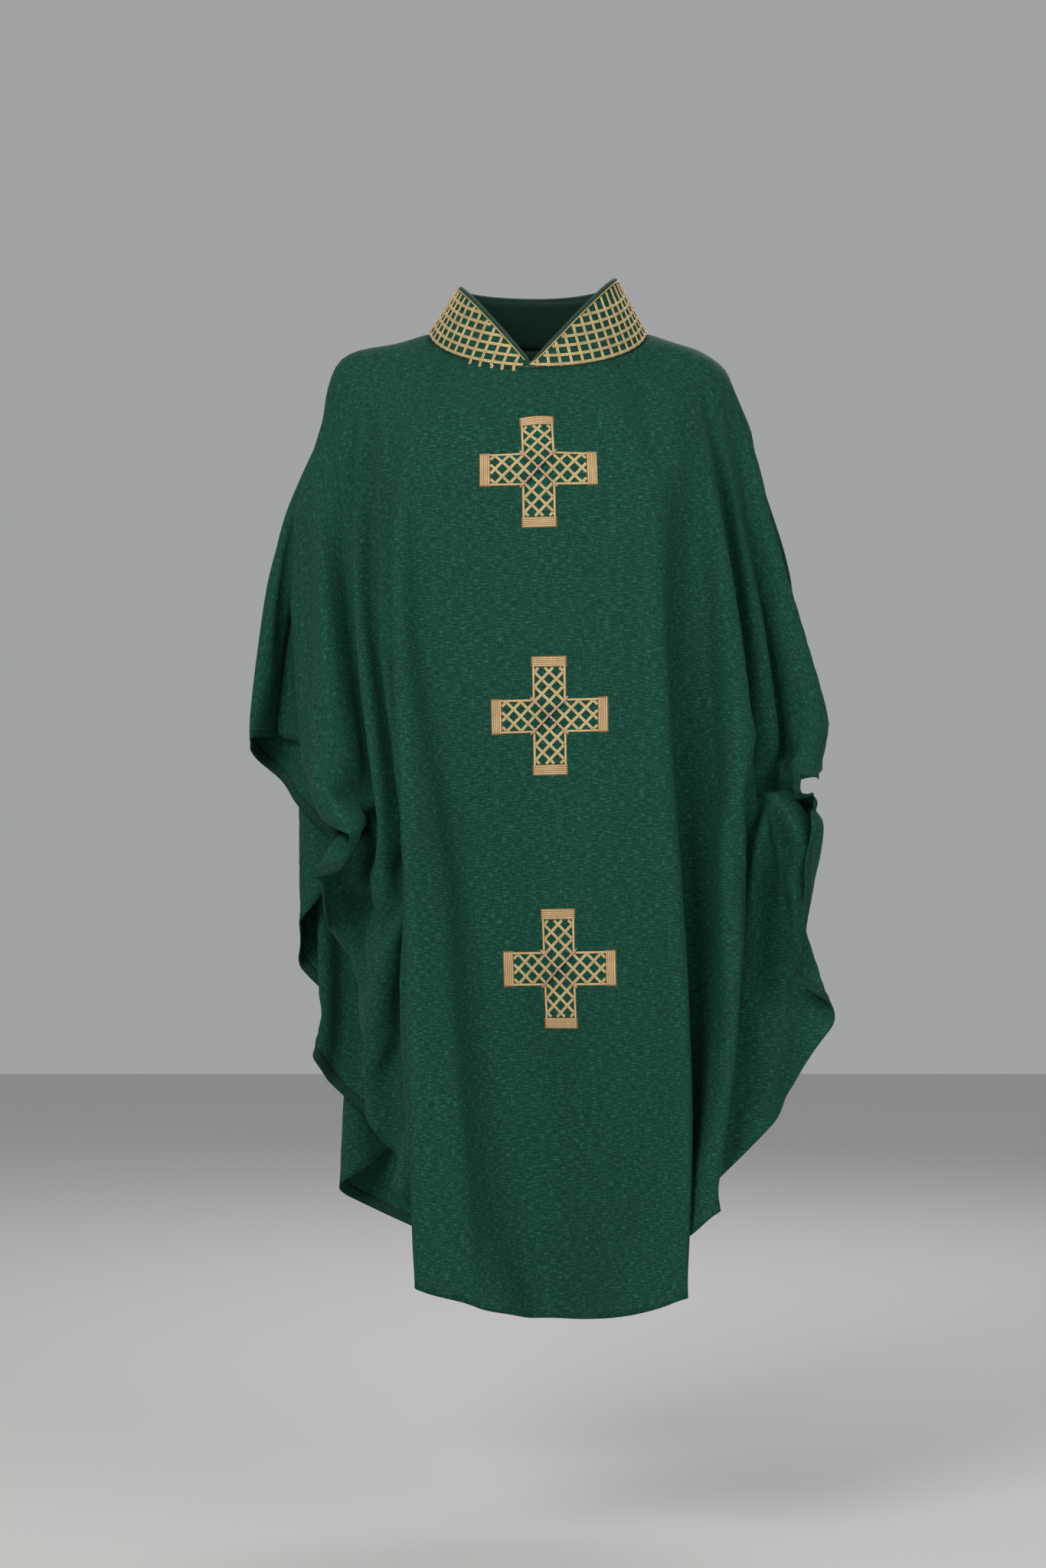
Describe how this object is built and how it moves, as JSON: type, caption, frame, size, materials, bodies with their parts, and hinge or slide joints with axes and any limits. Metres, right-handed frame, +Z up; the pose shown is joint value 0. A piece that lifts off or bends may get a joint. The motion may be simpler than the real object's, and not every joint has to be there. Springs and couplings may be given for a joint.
{
  "type": "chasuble",
  "caption": "Full cloth vestment open at the sides, with a stiff standing collar netted in gold cord and embroidered crosses down the front.",
  "frame": {"origin": "middle of the neck opening, level with the tops of the shoulders that carry the garment", "axes": "+Z up, +X towards the wearer's left, front facing -Y"},
  "size_m": [0.7276, 0.4413, 1.2928],
  "materials": {
    "green_cloth": "melange plain-weave cloth with fine slubs, matt",
    "green_tape": "turned cloth, stitched near its edge",
    "lining_cloth": "smooth lining",
    "buckram": "stiff open interlining, hidden",
    "dark_piping": "satin-covered piping",
    "gold_thread": "couched double cord of metallic gold thread",
    "pale_thread": "rows of satin-stitched cord, pale gold and rose",
    "rose_gold_thread": "twisted silver-rose metallic cord"
  },
  "bodies": {
    "root": {"back_hem": "green_tape", "back_panel": "green_cloth", "collar_edge_cord": "gold_thread", "collar_edge_piping": "dark_piping", "collar_interlining": "buckram", "collar_lining": "lining_cloth", "collar_outer": "green_cloth", "collar_ring_cord_2": "gold_thread", "collar_ring_cord_3": "gold_thread", "collar_ring_cord_4": "gold_thread", "collar_ring_cord_5": "gold_thread", "collar_ring_cord_6": "gold_thread", "collar_upright_cords": "gold_thread", "front_hem": "green_tape", "front_panel": "green_cloth", "left_shoulder_seam_tape": "green_tape", "lower_cross_bottom_bar": "pale_thread", "lower_cross_falling_cord": "rose_gold_thread", "lower_cross_lattice": "gold_thread", "lower_cross_left_bar": "pale_thread", "lower_cross_outline": "gold_thread", "lower_cross_right_bar": "pale_thread", "lower_cross_rising_cord": "rose_gold_thread", "lower_cross_top_bar": "pale_thread", "middle_cross_bottom_bar": "pale_thread", "middle_cross_falling_cord": "rose_gold_thread", "middle_cross_lattice": "gold_thread", "middle_cross_left_bar": "pale_thread", "middle_cross_outline": "gold_thread", "middle_cross_right_bar": "pale_thread", "middle_cross_rising_cord": "rose_gold_thread", "middle_cross_top_bar": "pale_thread", "neck_facing": "lining_cloth", "right_shoulder_seam_tape": "green_tape", "upper_cross_bottom_bar": "pale_thread", "upper_cross_falling_cord": "rose_gold_thread", "upper_cross_lattice": "gold_thread", "upper_cross_left_bar": "pale_thread", "upper_cross_outline": "gold_thread", "upper_cross_right_bar": "pale_thread", "upper_cross_rising_cord": "rose_gold_thread", "upper_cross_top_bar": "pale_thread"}
  },
  "joints": []
}
